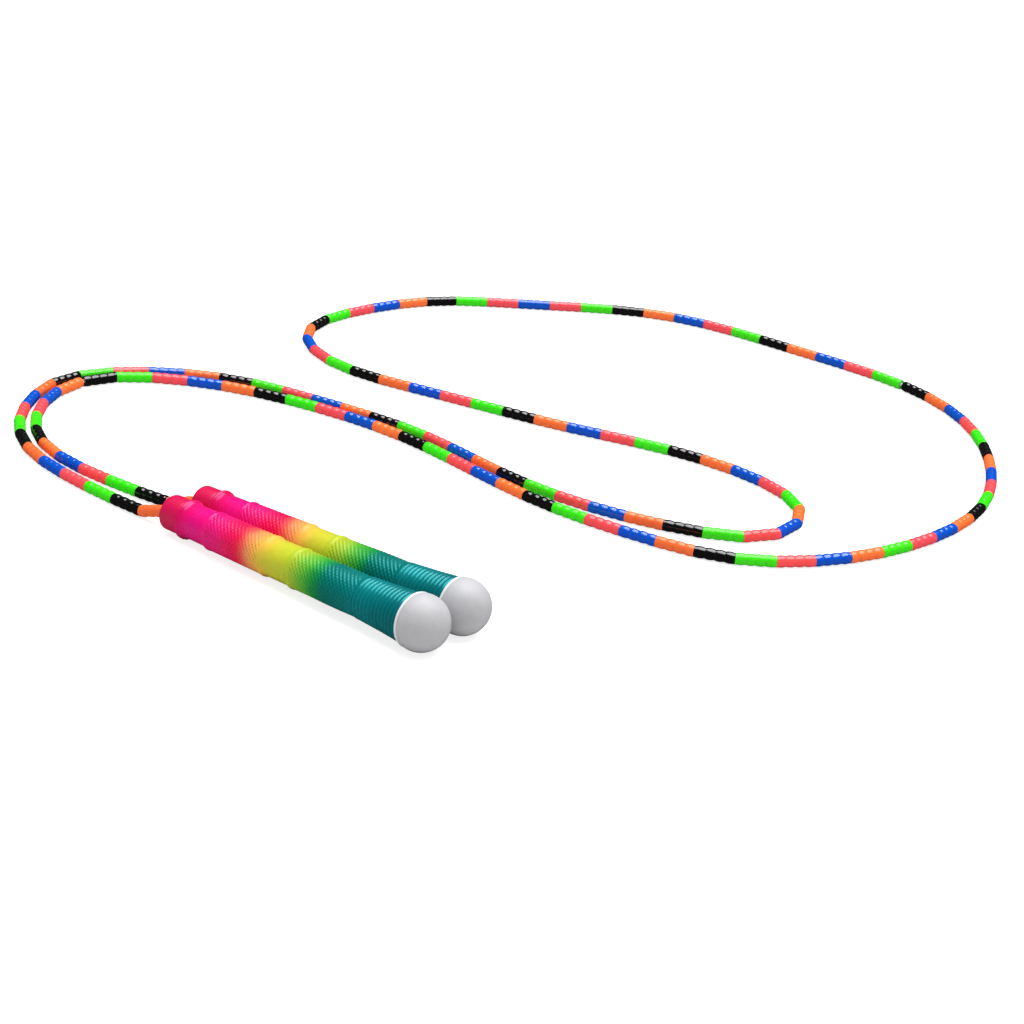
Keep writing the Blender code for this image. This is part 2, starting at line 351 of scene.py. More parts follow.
class Nodes:
    """Short calls for building a node tree."""

    def __init__(self, name):
        self.material = bpy.data.materials.new(name)
        self.material.use_nodes = True
        self.tree = self.material.node_tree
        self.shader = self.tree.nodes["Principled BSDF"]

    def new(self, kind, inputs=None, **settings):
        node = self.tree.nodes.new(kind)
        for key, value in settings.items():
            setattr(node, key, value)
        for key, value in (inputs or {}).items():
            self.put(node.inputs[key], value)
        return node

    def put(self, socket, value):
        if isinstance(value, bpy.types.NodeSocket):
            self.tree.links.new(value, socket)
        else:
            socket.default_value = value

    def attribute(self, name):
        return self.new("ShaderNodeAttribute", attribute_name=name).outputs["Fac"]

    def noise(self, scale, detail=3.0, rough=0.55):
        place = self.new("ShaderNodeTexCoord").outputs["Object"]
        inputs = {"Vector": place, "Scale": scale, "Detail": detail, "Roughness": rough}
        return self.new("ShaderNodeTexNoise", inputs).outputs["Fac"]

    def stretch(self, value, span, to):
        """The value, with its span stretched to another one and held inside it."""
        inputs = {"Value": value, "From Min": span[0], "From Max": span[1]}
        inputs |= {"To Min": to[0], "To Max": to[1]}
        return self.new("ShaderNodeMapRange", inputs).outputs["Result"]

    def spread(self, noise, to):
        return self.stretch(noise, NOISE_SPAN, to)

    def add(self, first, second):
        return self.math("ADD", first, second)

    def math(self, operation, first, second):
        node = self.new("ShaderNodeMath", operation=operation)
        self.put(node.inputs[0], first)
        self.put(node.inputs[1], second)
        return node.outputs["Value"]

    def mix(self, factor, first, second):
        node = self.new("ShaderNodeMix", data_type="RGBA")
        self.put(node.inputs[0], factor)
        for number, colour in ((6, first), (7, second)):  # the sockets that hold colours
            self.put(node.inputs[number], colour)
        return node.outputs[2]

    def tint(self, colour, value, hue=0.5):
        """The colour, brighter or darker; a hue of 0.5 leaves it as it is."""
        inputs = {"Hue": hue, "Value": value, "Color": colour}
        return self.new("ShaderNodeHueSaturation", inputs).outputs["Color"]

    def bump(self, height, strength, distance, normal=None):
        inputs = {"Strength": strength, "Distance": distance, "Height": height}
        if normal is not None:
            inputs["Normal"] = normal
        return self.new("ShaderNodeBump", inputs).outputs["Normal"]

    def set(self, **inputs):
        for key, value in inputs.items():
            self.put(self.shader.inputs[key.replace("_", " ")], value)


def rgb(colour):
    return (*colour, 1.0)


# ---- Materials -----------------------------------------------------------------------

BEAD_SHINE = 1.00  # specular level
HANDLE_SHINE = 1.00
CORD_SHADE, CORD_WHITE = (0.42, 0.41, 0.39), (0.86, 0.86, 0.84)
CORD_FLUFF = (0.70, 0.68, 0.64)
WORN_GREY, SCUFF_GREY = (0.80, 0.80, 0.80), (0.62, 0.60, 0.58)
STEEL_BRIGHT, STEEL_STAIN = (0.58, 0.57, 0.55), (0.38, 0.35, 0.31)
COLLAR_CRIMSON = (0.585, 0.001, 0.070)
# the rim's white is the ball's plastic painted brighter: a painted highlight along the rim
BALL_WHITE, RIM_HIGHLIGHT_WHITE = (0.452, 0.452, 0.470), (0.74, 0.75, 0.78)

BEAD_LOOKS = {  # letter: name, linear colour, colour with the painted groove shade, glint, roughness
    "O": ("orange", (1.00, 0.165, 0.034), (0.96, 0.140, 0.027), (1.00, 0.62, 0.50), 0.24),
    "K": ("black", (0.003, 0.003, 0.003), (0.002, 0.002, 0.002), (0.90, 0.90, 0.92), 0.13),
    "G": ("green", (0.040, 0.810, 0.004), (0.032, 0.730, 0.003), (0.60, 1.00, 0.50), 0.24),
    "C": ("coral", (1.00, 0.076, 0.088), (0.96, 0.064, 0.074), (1.00, 0.60, 0.62), 0.24),
    "B": ("blue", (0.001, 0.080, 0.560), (0.001, 0.065, 0.480), (0.70, 0.80, 1.00), 0.14),
}


def bead_material(letter):
    """Glossy moulded plastic, duller in the grooves, with shade painted darker into them.
    """
    name, colour, shaded_groove, glint, roughness = BEAD_LOOKS[letter]
    nodes = Nodes(f"bead_{name}")
    crest = nodes.attribute("crest")
    tone = nodes.attribute("tone")
    cloud = nodes.noise(260.0, detail=2.0)
    grime = nodes.noise(900.0, detail=4.0, rough=0.65)
    # painted shade: towards the grooves and the bore the colour goes to the darker groove
    # colour
    raised = nodes.stretch(crest, (0.0, 0.45), (0.0, 1.0))
    body = nodes.mix(raised, rgb(shaded_groove), rgb(colour))
    tones = nodes.stretch(tone, (-1.0, 1.0), (0.96, 1.04))
    hues = nodes.stretch(tone, (-1.0, 1.0), (0.498, 0.502))
    body = nodes.tint(body, nodes.add(tones, nodes.spread(cloud, (-0.02, 0.02))), hues)
    dull = nodes.stretch(crest, (0.0, 0.6), (0.10, 0.0))
    rough = nodes.add(nodes.spread(grime, (roughness - 0.03, roughness + 0.06)), dull)
    uneven = nodes.noise(520.0, detail=2.0)
    grain = nodes.noise(5200.0, detail=2.0)
    normal = nodes.bump(uneven, strength=0.25, distance=0.00010)
    normal = nodes.bump(grain, strength=0.08, distance=0.00003, normal=normal)
    nodes.set(Base_Color=body, Roughness=rough, Normal=normal)
    nodes.set(Specular_IOR_Level=BEAD_SHINE, Specular_Tint=rgb(glint))
    return nodes.material


def cord_material():
    nodes = Nodes("cord_braid")
    weave = nodes.attribute("weave")
    fluff = nodes.noise(4000.0, detail=4.0, rough=0.7)
    body = nodes.mix(weave, rgb(CORD_SHADE), rgb(CORD_WHITE))
    body = nodes.mix(nodes.stretch(fluff, (0.35, 0.75), (0.0, 0.25)), body, rgb(CORD_FLUFF))
    normal = nodes.bump(fluff, strength=0.5, distance=0.00006)
    nodes.set(Base_Color=body, Roughness=nodes.spread(fluff, (0.62, 0.85)), Normal=normal)
    nodes.set(Sheen_Weight=0.25, Sheen_Roughness=0.4)
    return nodes.material


GRIP_COLOURS = (  # s in millimetres, linear colour
    (14, (0.616, 0.0014, 0.0788)),
    (22, (0.702, 0.0007, 0.143)),
    (30, (0.716, 0.0007, 0.187)),
    (38, (0.736, 0.0015, 0.165)),
    (46, (0.792, 0.0081, 0.177)),
    (54, (0.808, 0.0081, 0.137)),
    (62, (0.808, 0.0048, 0.0891)),
    (68, (0.808, 0.0113, 0.0687)),
    (73, (0.808, 0.0808, 0.0727)),
    (78, (0.808, 0.258, 0.0966)),
    (86, (0.808, 0.420, 0.0695)),
    (94, (0.550, 0.487, 0.0317)),
    (102, (0.500, 0.516, 0.0283)),
    (110, (0.416, 0.508, 0.0233)),
    (118, (0.307, 0.502, 0.0360)),
    (122, (0.180, 0.465, 0.0337)),
    (126, (0.0825, 0.412, 0.0337)),
    (130, (0.0337, 0.337, 0.0375)),
    (134, (0.0105, 0.270, 0.0480)),
    (138, (0.0030, 0.210, 0.0825)),
    (142, (0.0007, 0.165, 0.122)),
    (150, (0.0012, 0.161, 0.147)),
    (158, (0.0007, 0.170, 0.157)),
    (166, (0.0020, 0.189, 0.200)),
    (174, (0.0007, 0.186, 0.198)),
    (186, (0.0007, 0.153, 0.163)),
    (203, (0.0007, 0.133, 0.150)),
)
GRIP_GLINTS = (  # s in millimetres, tint of the highlights
    (14, (0.258, 0.189, 0.430)),
    (34, (0.258, 0.189, 0.473)),
    (44, (0.301, 0.129, 0.215)),
    (86, (0.258, 0.129, 0.0860)),
    (92, (0.0860, 0.103, 0.0516)),
    (110, (0.0860, 0.120, 0.0516)),
    (126, (0.0516, 0.301, 0.172)),
    (140, (0.0344, 0.430, 0.447)),
    (162, (0.0344, 0.473, 0.499)),
    (166, (0.0860, 0.817, 0.860)),
    (203, (0.0860, 0.817, 0.860)),
)
GRIP_SHIFTS = {"a": 0.0, "b": 0.003}  # how much nearer the ball the colours lie
GRIP_FULL = 0.210  # length that the colour ramp spans


def dye(nodes, place, colours):
    """The colour at a place along the grip."""
    ramp = nodes.new("ShaderNodeValToRGB", {"Fac": place})
    stops = ramp.color_ramp.elements
    for number, (s, colour) in enumerate(colours):
        at = s / 1000 / GRIP_FULL
        stop = stops[number] if number < len(stops) else stops.new(at)
        stop.position, stop.color = at, rgb(colour)
    return ramp.outputs["Color"]


def grip_material():
    """Plastic dyed along the grip, with painted shade in the relief's grooves, faintly worn
    on it.
    """
    nodes = Nodes("grip_dyed")
    along = nodes.attribute("along")
    relief = nodes.attribute("relief")
    drift = nodes.noise(55.0, detail=2.0, rough=0.5)
    mottle = nodes.noise(240.0, detail=3.0, rough=0.6)
    grain = nodes.noise(1500.0, detail=4.0, rough=0.65)
    wander = nodes.stretch(drift, (0.25, 0.75), (-0.0035, 0.0035))
    place = nodes.math("DIVIDE", nodes.add(along, wander), GRIP_FULL)
    body = dye(nodes, place, GRIP_COLOURS)
    body = nodes.tint(body, nodes.spread(mottle, (0.96, 1.04)))
    # painted shade: the grooves of the knurls and ribs darker, their crests a little
    # lighter
    body = nodes.tint(body, nodes.stretch(relief, (0.0, 0.9), (0.77, 1.02)))
    crest = nodes.stretch(relief, (0.8, 1.0), (0.0, 1.0))
    scuff = nodes.stretch(grain, (0.5, 0.75), (0.0, 0.02))
    body = nodes.mix(nodes.math("MULTIPLY", crest, scuff), body, rgb(WORN_GREY))
    dull = nodes.stretch(relief, (0.0, 0.6), (0.12, 0.0))
    rough = nodes.add(nodes.spread(grain, (0.22, 0.30)), dull)
    normal = nodes.bump(mottle, strength=0.20, distance=0.00012)
    normal = nodes.bump(grain, strength=0.15, distance=0.00003, normal=normal)
    glint = dye(nodes, place, GRIP_GLINTS)
    nodes.set(Base_Color=body, Roughness=rough, Normal=normal)
    nodes.set(Specular_IOR_Level=HANDLE_SHINE, Specular_Tint=glint)
    return nodes.material


def moulded_material(name, colour, roughness, grain_scale, shine):
    """Moulded plastic with faint flow marks, satin grain and small scuffs."""
    nodes = Nodes(name)
    mottle = nodes.noise(grain_scale * 0.15, detail=3.0, rough=0.6)
    grain = nodes.noise(grain_scale, detail=4.0, rough=0.65)
    scuff = nodes.noise(grain_scale * 0.5, detail=5.0, rough=0.75)
    body = nodes.tint(rgb(colour), nodes.spread(mottle, (0.96, 1.03)))
    scuffed = nodes.stretch(scuff, (0.62, 0.80), (0.0, 0.03))
    body = nodes.mix(scuffed, body, rgb(SCUFF_GREY))
    dull = nodes.stretch(scuff, (0.6, 0.8), (0.0, 0.12))
    rough = nodes.add(nodes.spread(grain, roughness), dull)
    normal = nodes.bump(mottle, strength=0.20, distance=0.00020)
    normal = nodes.bump(grain, strength=0.15, distance=0.00004, normal=normal)
    nodes.set(Base_Color=body, Roughness=rough, Normal=normal, Specular_IOR_Level=shine)
    return nodes.material


def steel_material():
    nodes = Nodes("washer_steel")
    brushed = nodes.noise(3000.0, detail=3.0, rough=0.6)
    stain = nodes.stretch(nodes.noise(500.0), (0.4, 0.8), (0.0, 0.5))
    body = nodes.mix(stain, rgb(STEEL_BRIGHT), rgb(STEEL_STAIN))
    rough = nodes.spread(brushed, (0.28, 0.45))
    normal = nodes.bump(brushed, strength=0.2, distance=0.00003)
    nodes.set(Base_Color=body, Metallic=1.0, Roughness=rough, Normal=normal)
    return nodes.material


# ---- Beads ---------------------------------------------------------------------------


def bead_profile(length):
    """(s, r, crest) round a bead's wall: over its bulges and back down the bore."""
    outer = []
    steps = BULGES * BULGE_STEPS
    for k in range(steps + 1):
        s = BEAD_EDGE + (length - 2 * BEAD_EDGE) * k / steps
        swell = abs(math.sin(math.pi * k / BULGE_STEPS)) ** BULGE_POWER
        radius = GROOVE_RADIUS + (BEAD_RADIUS - GROOVE_RADIUS) * swell
        if min(k, steps - k) < BULGE_STEPS / 2 and radius < BEAD_END_RADIUS:
            radius, swell = BEAD_END_RADIUS, BEAD_END_CREST
        outer.append((s, radius, swell))
    near = []
    for k in range(BEAD_CORNER_STEPS, 0, -1):
        turn = math.pi / 2 * k / BEAD_CORNER_STEPS
        radius = BEAD_END_RADIUS - BEAD_EDGE * (1 - math.cos(turn))
        near.append((BEAD_EDGE * (1 - math.sin(turn)), radius, BEAD_CORNER_CREST))
    far = [(length - s, r, c) for s, r, c in reversed(near)]
    lead_in = BORE_RADIUS + BORE_LEAD_IN
    return [
        *near,
        *outer,
        *far,
        (length, lead_in, 0.0),
        (length - BORE_LEAD_IN, BORE_RADIUS, 0.0),
        (length * 0.5, BORE_RADIUS, 0.0),
        (BORE_LEAD_IN, BORE_RADIUS, 0.0),
        (0.0, lead_in, 0.0),
    ]


def bisector(beads, bead, other):
    """The normal of the plane where two beads meet: square on where there is no other."""
    own = (beads[bead][1] - beads[bead][0]).normalized()
    if not 0 <= other < BEAD_COUNT or min(bead, other) + 1 in WIDE_GAP_AFTER:
        return own
    return (own + (beads[other][1] - beads[other][0]).normalized()).normalized()


def build_bead(beads, bead):
    """A bead's shell, whose ends lean to meet its neighbours' in a bend."""
    start, end = beads[bead]
    direction = (end - start).normalized()
    length = (end - start).length
    profile = np.array(bead_profile(length))
    beside = Vector((direction.y, -direction.x, 0.0)).normalized()
    above = direction.cross(beside)
    origin = np.array(start + beside * random.uniform(-BEAD_SHIFT, BEAD_SHIFT))
    across, up = circle(BEAD_SIDES)
    ring = np.outer(across, beside) + np.outer(up, above)
    offsets = profile[:, 1:2, None] * ring[None]
    s = profile[:, :1] + np.zeros(BEAD_SIDES)
    for other, side in ((bead - 1, -1), (bead + 1, 1)):
        plane = np.array(bisector(beads, bead, other))
        lean = -(offsets @ plane) / (np.array(direction) @ plane)
        from_end = length - profile[:, :1] if side > 0 else profile[:, :1]
        share = np.clip(1 - from_end / MITRE_REACH, 0, 1)
        s = s + share * (lean - side * JOINT_GAP / 2)
    shell = origin + s[:, :, None] * np.array(direction) + offsets
    return shell.reshape(-1, 3), profile[:, 2]


def build_run(beads, first, last, materials):
    """The beads of one run, each its own closed shell with its own colour."""
    points, faces, indices, crests, tones = [], [], [], [], []
    letters = sorted(set(BEAD_COLOURS[first - 1 : last]))
    done = 0
    for bead in range(first, last + 1):
        shell, crest = build_bead(beads, bead - 1)
        found = grid_faces(len(crest), BEAD_SIDES, True) + done
        points.append(shell)
        faces.append(found)
        indices.append(np.full(len(found), letters.index(BEAD_COLOURS[bead - 1])))
        crests.append(np.repeat(crest, BEAD_SIDES))
        tones.append(np.full(len(shell), random.uniform(-1, 1)))
        done += len(shell)
    name = f"run_{first:03d}_to_{last:03d}"
    used = [materials[letter] for letter in letters]
    points, faces, indices = (np.concatenate(part) for part in (points, faces, indices))
    run = add_mesh(name, points, faces, used, indices)
    run.data.set_sharp_from_angle(angle=BEAD_SHARP)
    add_attribute(run, "crest", np.concatenate(crests))
    add_attribute(run, "tone", np.concatenate(tones))
    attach(run, "rope")
    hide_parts(f"beads_{first:03d}_to_{last:03d}")
    return run


# ---- Cord ----------------------------------------------------------------------------

CORD_SIDES = 32
BRAID_WAVES = 6
BRAID_LAY = 0.0048  # length in which a strand goes once round
BRAID_HEIGHT = 0.00013
BRAID_STEP = 0.00018
BRAID_POWER = 1.5  # over 1, so a strand is narrower than a sine
HIDDEN_STEPS, HIDDEN_WEAVE = 3, 0.7  # where a bead hides the cord
SEEN_IN_BEAD = 0.0012  # how far into a bead the braid is still made closely
END_WEAVE = 0.5

# The end knot: most of a trefoil
KNOT_POINTS = 97
KNOT_SHARE, KNOT_START = 0.94, 0.19  # the part of the trefoil, and its start in radians
KNOT_SIZE, KNOT_LOBES = 0.00090, 1.9  # the lobes as a multiple of the size
KNOT_RISE = 0.0022


def braid(s):
    """Radius and height of the weave round the cord at s."""
    angles = 2 * np.pi * np.arange(CORD_SIDES) / CORD_SIDES
    turn = 2 * np.pi * s / BRAID_LAY
    one = np.abs(np.cos((BRAID_WAVES * angles + BRAID_WAVES * turn) / 2))
    other = np.abs(np.cos((BRAID_WAVES * angles - BRAID_WAVES * turn) / 2))
    weave = np.maximum(one, other) ** BRAID_POWER
    return CORD_RADIUS - BRAID_HEIGHT * (1 - weave), weave


def tube_mesh(name, line, fine, material):
    """A braided tube along the line; only the fine points show the braid closely."""
    along = distances(line)
    across, up = circle(CORD_SIDES)
    rings, weaves = [], []
    for k, place in enumerate(line):
        ahead = line[min(k + 1, len(line) - 1)] - line[max(k - 1, 0)]
        ahead /= np.linalg.norm(ahead)
        beside = np.cross(ahead, (0, 0, 1))
        beside /= np.linalg.norm(beside)
        above = np.cross(beside, ahead)
        radius, weave = braid(along[k])
        if not fine[k]:
            radius = np.full(CORD_SIDES, CORD_RADIUS - BRAID_HEIGHT / 2)
            weave = np.full(CORD_SIDES, HIDDEN_WEAVE)
        sideways = (radius * across)[:, None] * beside
        rings.append(place + sideways + (radius * up)[:, None] * above)
        weaves.append(weave)
    points = np.concatenate([*rings, [line[0]], [line[-1]]])
    count = len(line)
    faces = [tuple(reversed(face)) for face in grid_faces(count, CORD_SIDES, False)]
    for side in range(CORD_SIDES):
        beside = (side + 1) % CORD_SIDES
        last = (count - 1) * CORD_SIDES
        faces.append((count * CORD_SIDES, beside, side))
        faces.append((count * CORD_SIDES + 1, last + side, last + beside))
    made = add_mesh(name, points, faces, [material])
    add_attribute(made, "weave", np.concatenate([*weaves, [END_WEAVE], [END_WEAVE]]))
    return made


def build_cord(beads, handles, material):
    """The one cord, from inside handle a to inside handle b, and the points it follows."""
    inside = Vector((0, 0, WASHER_END))
    line, fine = [], []

    def stretch(start, end, close):
        steps = HIDDEN_STEPS
        if close:
            steps = max(1, round((end - start).length / BRAID_STEP))
        for k in range(steps):
            line.append(np.array(start.lerp(end, k / steps)))
            fine.append(close)

    mouth_a, mouth_b = handles["a"] @ Vector(), handles["b"] @ Vector()
    stretch(handles["a"] @ inside, mouth_a, True)
    stretch(mouth_a, beads[0][0], True)
    for number, (start, end) in enumerate(beads):
        lead = (end - start).normalized() * SEEN_IN_BEAD
        stretch(start, start + lead, True)
        stretch(start + lead, end - lead, False)
        stretch(end - lead, end, True)
        if number + 1 in WIDE_GAP_AFTER:
            stretch(end, beads[number + 1][0], True)
    stretch(beads[-1][1], mouth_b, True)
    stretch(mouth_b, handles["b"] @ inside, True)
    line.append(np.array(handles["b"] @ inside))
    fine.append(True)
    cord = tube_mesh("braided_cord", np.array(line), fine, material)
    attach(cord, "rope")
    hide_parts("cord")
    return cord, line


def knot_point(k):
    """The knot's point k, about a handle's axis."""
    turn = 2 * math.pi * (k / (KNOT_POINTS - 1)) * KNOT_SHARE + KNOT_START
    return Vector(
        (
            KNOT_SIZE * (math.sin(turn) + KNOT_LOBES * math.sin(2 * turn)),
            KNOT_SIZE * (math.cos(turn) - KNOT_LOBES * math.cos(2 * turn)),
            KNOT_MIDDLE + KNOT_RISE * math.sin(3 * turn),
        )
    )


def build_knot(letter, handle, material):
    """The cord's end tied in an overhand knot, pulled tight, with its cut tail."""
    points = np.array([np.array(handle @ knot_point(k)) for k in range(KNOT_POINTS)])
    knot = tube_mesh(f"cord_knot_{letter}", points, [True] * len(points), material)
    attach(knot, "rope")
    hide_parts(f"stopper_knot_{letter}")
    return knot


# ---- Handles -------------------------------------------------------------------------


def handle_matrices():
    """Each handle's matrix, from (x, y, s) about its joint's axis to the frame."""
    found = {}
    for joint in frame["joints"]:
        axis = Vector(joint["axis"]).normalized()
        turn = axis.to_track_quat("Z", "Y").to_matrix().to_4x4()
        found[joint["child"][-1]] = Matrix.Translation(joint["pos_m"]) @ turn
    return found


def place_on(points, handle):
    matrix = np.array(handle)
    return points @ matrix[:3, :3].T + matrix[:3, 3]


def round_corners(corners, radius, steps):
    """A closed profile with each corner that is marked True rounded."""
    made = []
    count = len(corners)
    for k, (s, r, rounded) in enumerate(corners):
        if not rounded:
            made.append((s, r))
            continue
        here = Vector((s, r))
        before, after = (Vector(corners[(k + d) % count][:2]) - here for d in (-1, 1))
        reach = min(radius, before.length * ROUNDED_SHARE, after.length * ROUNDED_SHARE)
        start, end = before.normalized() * reach, after.normalized() * reach
        for step in range(steps + 1):
            t = step / steps
            made.append(tuple(here + start * (1 - t) ** 2 + end * t**2))
    return made


def turned_piece(name, profile, letter, handle, materials, node, sides, second=0):
    """A turned piece; as many steps of its profile as second says are of material two."""
    points, faces = lathe(profile, sides)
    indices = np.repeat(np.arange(len(profile)) < second, sides)
    piece = add_mesh(name, place_on(points, handle), faces, materials, indices)
    piece.data.set_sharp_from_angle(angle=TURNED_SHARP)
    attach(piece, f"handle_{letter}")
    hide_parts(node)


def collar_profile():
    end = COLLAR_LENGTH + SPIGOT_LENGTH
    corners = [
        (0.0, CORD_HOLE_RADIUS, True),
        (0.0, COLLAR_RADIUS, True),
        (COLLAR_LENGTH, COLLAR_RADIUS, True),
        (COLLAR_LENGTH, SPIGOT_RADIUS, False),
        (end, SPIGOT_RADIUS, True),
        (end, SPIGOT_BORE_RADIUS, False),
        (COLLAR_WALL, SPIGOT_BORE_RADIUS, False),
        (COLLAR_WALL, CORD_HOLE_RADIUS, False),
    ]
    return round_corners(corners, COLLAR_ROUNDING, ROUNDING_STEPS)


def rim_profile():
    """The rim's rounded edge, from the plug to the ball."""
    end = RIM_S + RIM_WIDTH
    return [
        (RIM_S, SPIGOT_RADIUS),
        *((RIM_S + s, RIM_RADIUS - drop) for s, drop in RIM_FRONT),
        *((end - s, RIM_RADIUS - drop) for s, drop in RIM_BACK),
    ]


def ball_arc(radius, start, end, steps):
    """(s, r) about the ball's centre from one angle off the axis to another."""
    return [
        (BALL_S + radius * math.cos(a), max(radius * math.sin(a), POLE_RADIUS))
        for a in np.linspace(start, end, steps)
    ]


def ball_profile():
    """The ball with its rim: over the rim, round the ball, then the hollow and the plug."""
    from_centre = BALL_S - RIM_S - RIM_WIDTH - BALL_START
    start = math.pi - math.acos(from_centre / BALL_RADIUS)
    ball = ball_arc(BALL_RADIUS, start, 0.0, BALL_STEPS)
    inner = BALL_RADIUS - SHELL_WALL
    mouth = math.pi - math.asin(SPIGOT_BORE_RADIUS / inner)
    hollow = ball_arc(inner, 0.0, mouth, HOLLOW_STEPS)
    spigot_end = RIM_S - BALL_SPIGOT_LENGTH
    plug = [(spigot_end, SPIGOT_BORE_RADIUS), (spigot_end, SPIGOT_RADIUS)]
    return [*rim_profile(), *ball, *hollow, *plug]


GRIP_OUTLINE = (  # (s, radius) of the crests, close together on the rounded steps
    (GRIP_START, 0.01085),
    (0.01465, 0.01115),
    (0.01485, 0.01165),
    (0.01510, 0.01202),
    (0.01545, 0.01220),
    (0.01600, 0.01225),
    (0.01645, 0.01218),
    (0.01690, 0.01200),
    (0.01735, 0.01170),
    (0.01775, 0.01135),
    (0.01825, 0.01102),
    (0.01885, 0.01082),
    (0.01975, 0.01072),
    (0.02200, 0.01070),
    (0.03000, 0.01078),
    (0.03810, 0.01086),
    (0.03845, 0.01098),
    (0.03875, 0.01150),
    (0.03905, 0.01187),
    (0.03950, 0.01200),
    (0.03995, 0.01198),
    (0.04030, 0.01182),
    (0.04070, 0.01170),
    (0.08610, 0.01210),
    (0.08650, 0.01222),
    (0.08680, 0.01238),
    (0.08720, 0.01244),
    (0.08760, 0.01238),
    (0.08800, 0.01215),
    (0.08840, 0.01180),
    (0.08890, 0.01162),
    (0.08970, 0.01158),
    (0.10930, 0.01166),
    (0.10980, 0.01176),
    (0.11020, 0.01210),
    (0.11060, 0.01238),
    (0.11120, 0.01250),
    (0.11180, 0.01244),
    (0.11230, 0.01222),
    (0.11280, 0.01205),
    (0.12600, 0.01210),
    (0.14000, 0.01240),
    (0.15100, 0.01240),
    (0.16370, 0.01220),
    (0.16430, 0.01262),
    (0.18450, 0.01380),
    (0.19990, 0.01510),
    (GRIP_END, 0.01485),
)


def evenly(low, high, count):
    """Places from low to high in count steps, rounded so that equal ones meet."""
    return {round(low + (high - low) * k / count, 6) for k in range(count + 1)}


def grip_stations():
    """Where along the grip its outer rings lie: close in the knurls and ribs."""
    stations = {round(s, 6) for s, _ in GRIP_OUTLINE}
    for low, high in KNURLS:
        count = round((high - low) / (KNURL_PITCH / KNURL_STEPS))
        stations |= evenly(low, high, count)
    stations |= evenly(RIBS_START, RIBS_END, RIB_COUNT * RIB_STEPS)
    for low, high in PLAIN_BANDS:
        stations |= evenly(low, high, BAND_STEPS)
    ordered = sorted(stations)
    kept = [ordered[0]]
    for s in ordered[1:]:
        if s - kept[-1] > LEAST_RING_STEP:
            kept.append(s)
    kept[-1] = GRIP_END
    return np.array(kept)


def ridge(phase):
    """A rounded ridge, 1 on its crest and 0 between two."""
    return (0.5 + 0.5 * np.cos(2 * np.pi * phase)) ** KNURL_POWER


def grip_surface():
    """Outer radius and relief (0 in a groove, 1 on a crest) over stations and angles."""
    stations = grip_stations()
    crest = np.interp(stations, *np.array(GRIP_OUTLINE).T)[:, None] * np.ones(HANDLE_SIDES)
    turn = np.arange(HANDLE_SIDES) / HANDLE_SIDES * KNURL_STARTS
    relief = np.ones_like(crest)
    depth = np.zeros_like(crest)
    for low, high in KNURLS:
        inside = (stations > low) & (stations < high)
        run = (stations[inside] - low) / KNURL_PITCH
        one = ridge(turn[None] + run[:, None])
        other = ridge(turn[None] - run[:, None])
        height = 1 - (1 - one * CROSS_RIDGE) * (1 - other)
        edge = np.minimum(stations[inside] - low, high - stations[inside]) / KNURL_FADE
        fade = np.clip(edge, 0, 1)[:, None]
        relief[inside] = 1 - (1 - height) * fade
        depth[inside] = KNURL_DEPTH
    ribbed = (stations > RIBS_START) & (stations < RIBS_END)
    phase = (stations[ribbed] - RIBS_START) / (RIBS_END - RIBS_START) * RIB_COUNT
    relief[ribbed] = (0.5 - 0.5 * np.cos(2 * np.pi * phase))[:, None] ** RIB_POWER
    depth[ribbed] = RIB_DEPTH
    return stations, crest - depth * (1 - relief), relief


def build_grip(letter, handle, material):
    """A grip's outer surface with its relief, closed through the bore."""
    stations, radius, relief = grip_surface()
    along = np.concatenate([stations, [GRIP_END, GRIP_START]])
    bore = np.full((2, HANDLE_SIDES), GRIP_BORE_RADIUS)
    radius = np.concatenate([radius, bore])
    across, up = circle(HANDLE_SIDES)
    heights = np.repeat(along[:, None], HANDLE_SIDES, 1)
    points = np.stack([radius * across, radius * up, heights], 2).reshape(-1, 3)
    faces = grid_faces(len(along), HANDLE_SIDES, True)
    grip = add_mesh(f"grip_moulded_{letter}", place_on(points, handle), faces, [material])
    add_attribute(grip, "along", np.repeat(along - GRIP_SHIFTS[letter], HANDLE_SIDES))
    add_attribute(grip, "relief", np.concatenate([relief, np.zeros_like(bore)]).ravel())
    grip.data.set_sharp_from_angle(angle=GRIP_SHARP)
    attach(grip, f"handle_{letter}")
    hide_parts(f"grip_{letter}")


# ---- Floor and light -----------------------------------------------------------------

FLOOR_SEEN, FLOOR_GLOW = (0.45, 0.45, 0.45), 0.80  # to the camera
FLOOR_LIT = (0.72, 0.72, 0.72)  # to the light that bounces off it
FLOOR_IN_GLOSS = 0.04
FLOOR_HALF, FLOOR_DROP = 12.0, 0.00005
SUN_FROM = (-0.020, 0.205, 0.979)  # towards the light: overhead, a little behind the rope
SUN_STRENGTH = 4.55
SUN_WIDTH = 60.0  # degrees across
SKY_STRENGTH = 0.40
SKY_IN_GLOSS = 0.03
WHITE = (1.0, 1.0, 1.0)


def by_ray(tree, lit, seen, shiny, output):
    """Shows one shader to the camera, one in glossy rays, and lit to all other rays."""
    path = tree.nodes.new("ShaderNodeLightPath")
    shader = lit
    for ray, other in (("Is Camera Ray", seen), ("Is Glossy Ray", shiny)):
        mix = tree.nodes.new("ShaderNodeMixShader")
        tree.links.new(path.outputs[ray], mix.inputs["Fac"])
        tree.links.new(shader.outputs[0], mix.inputs[1])
        tree.links.new(other.outputs[0], mix.inputs[2])
        shader = mix
    tree.links.new(shader.outputs[0], tree.nodes[output].inputs["Surface"])


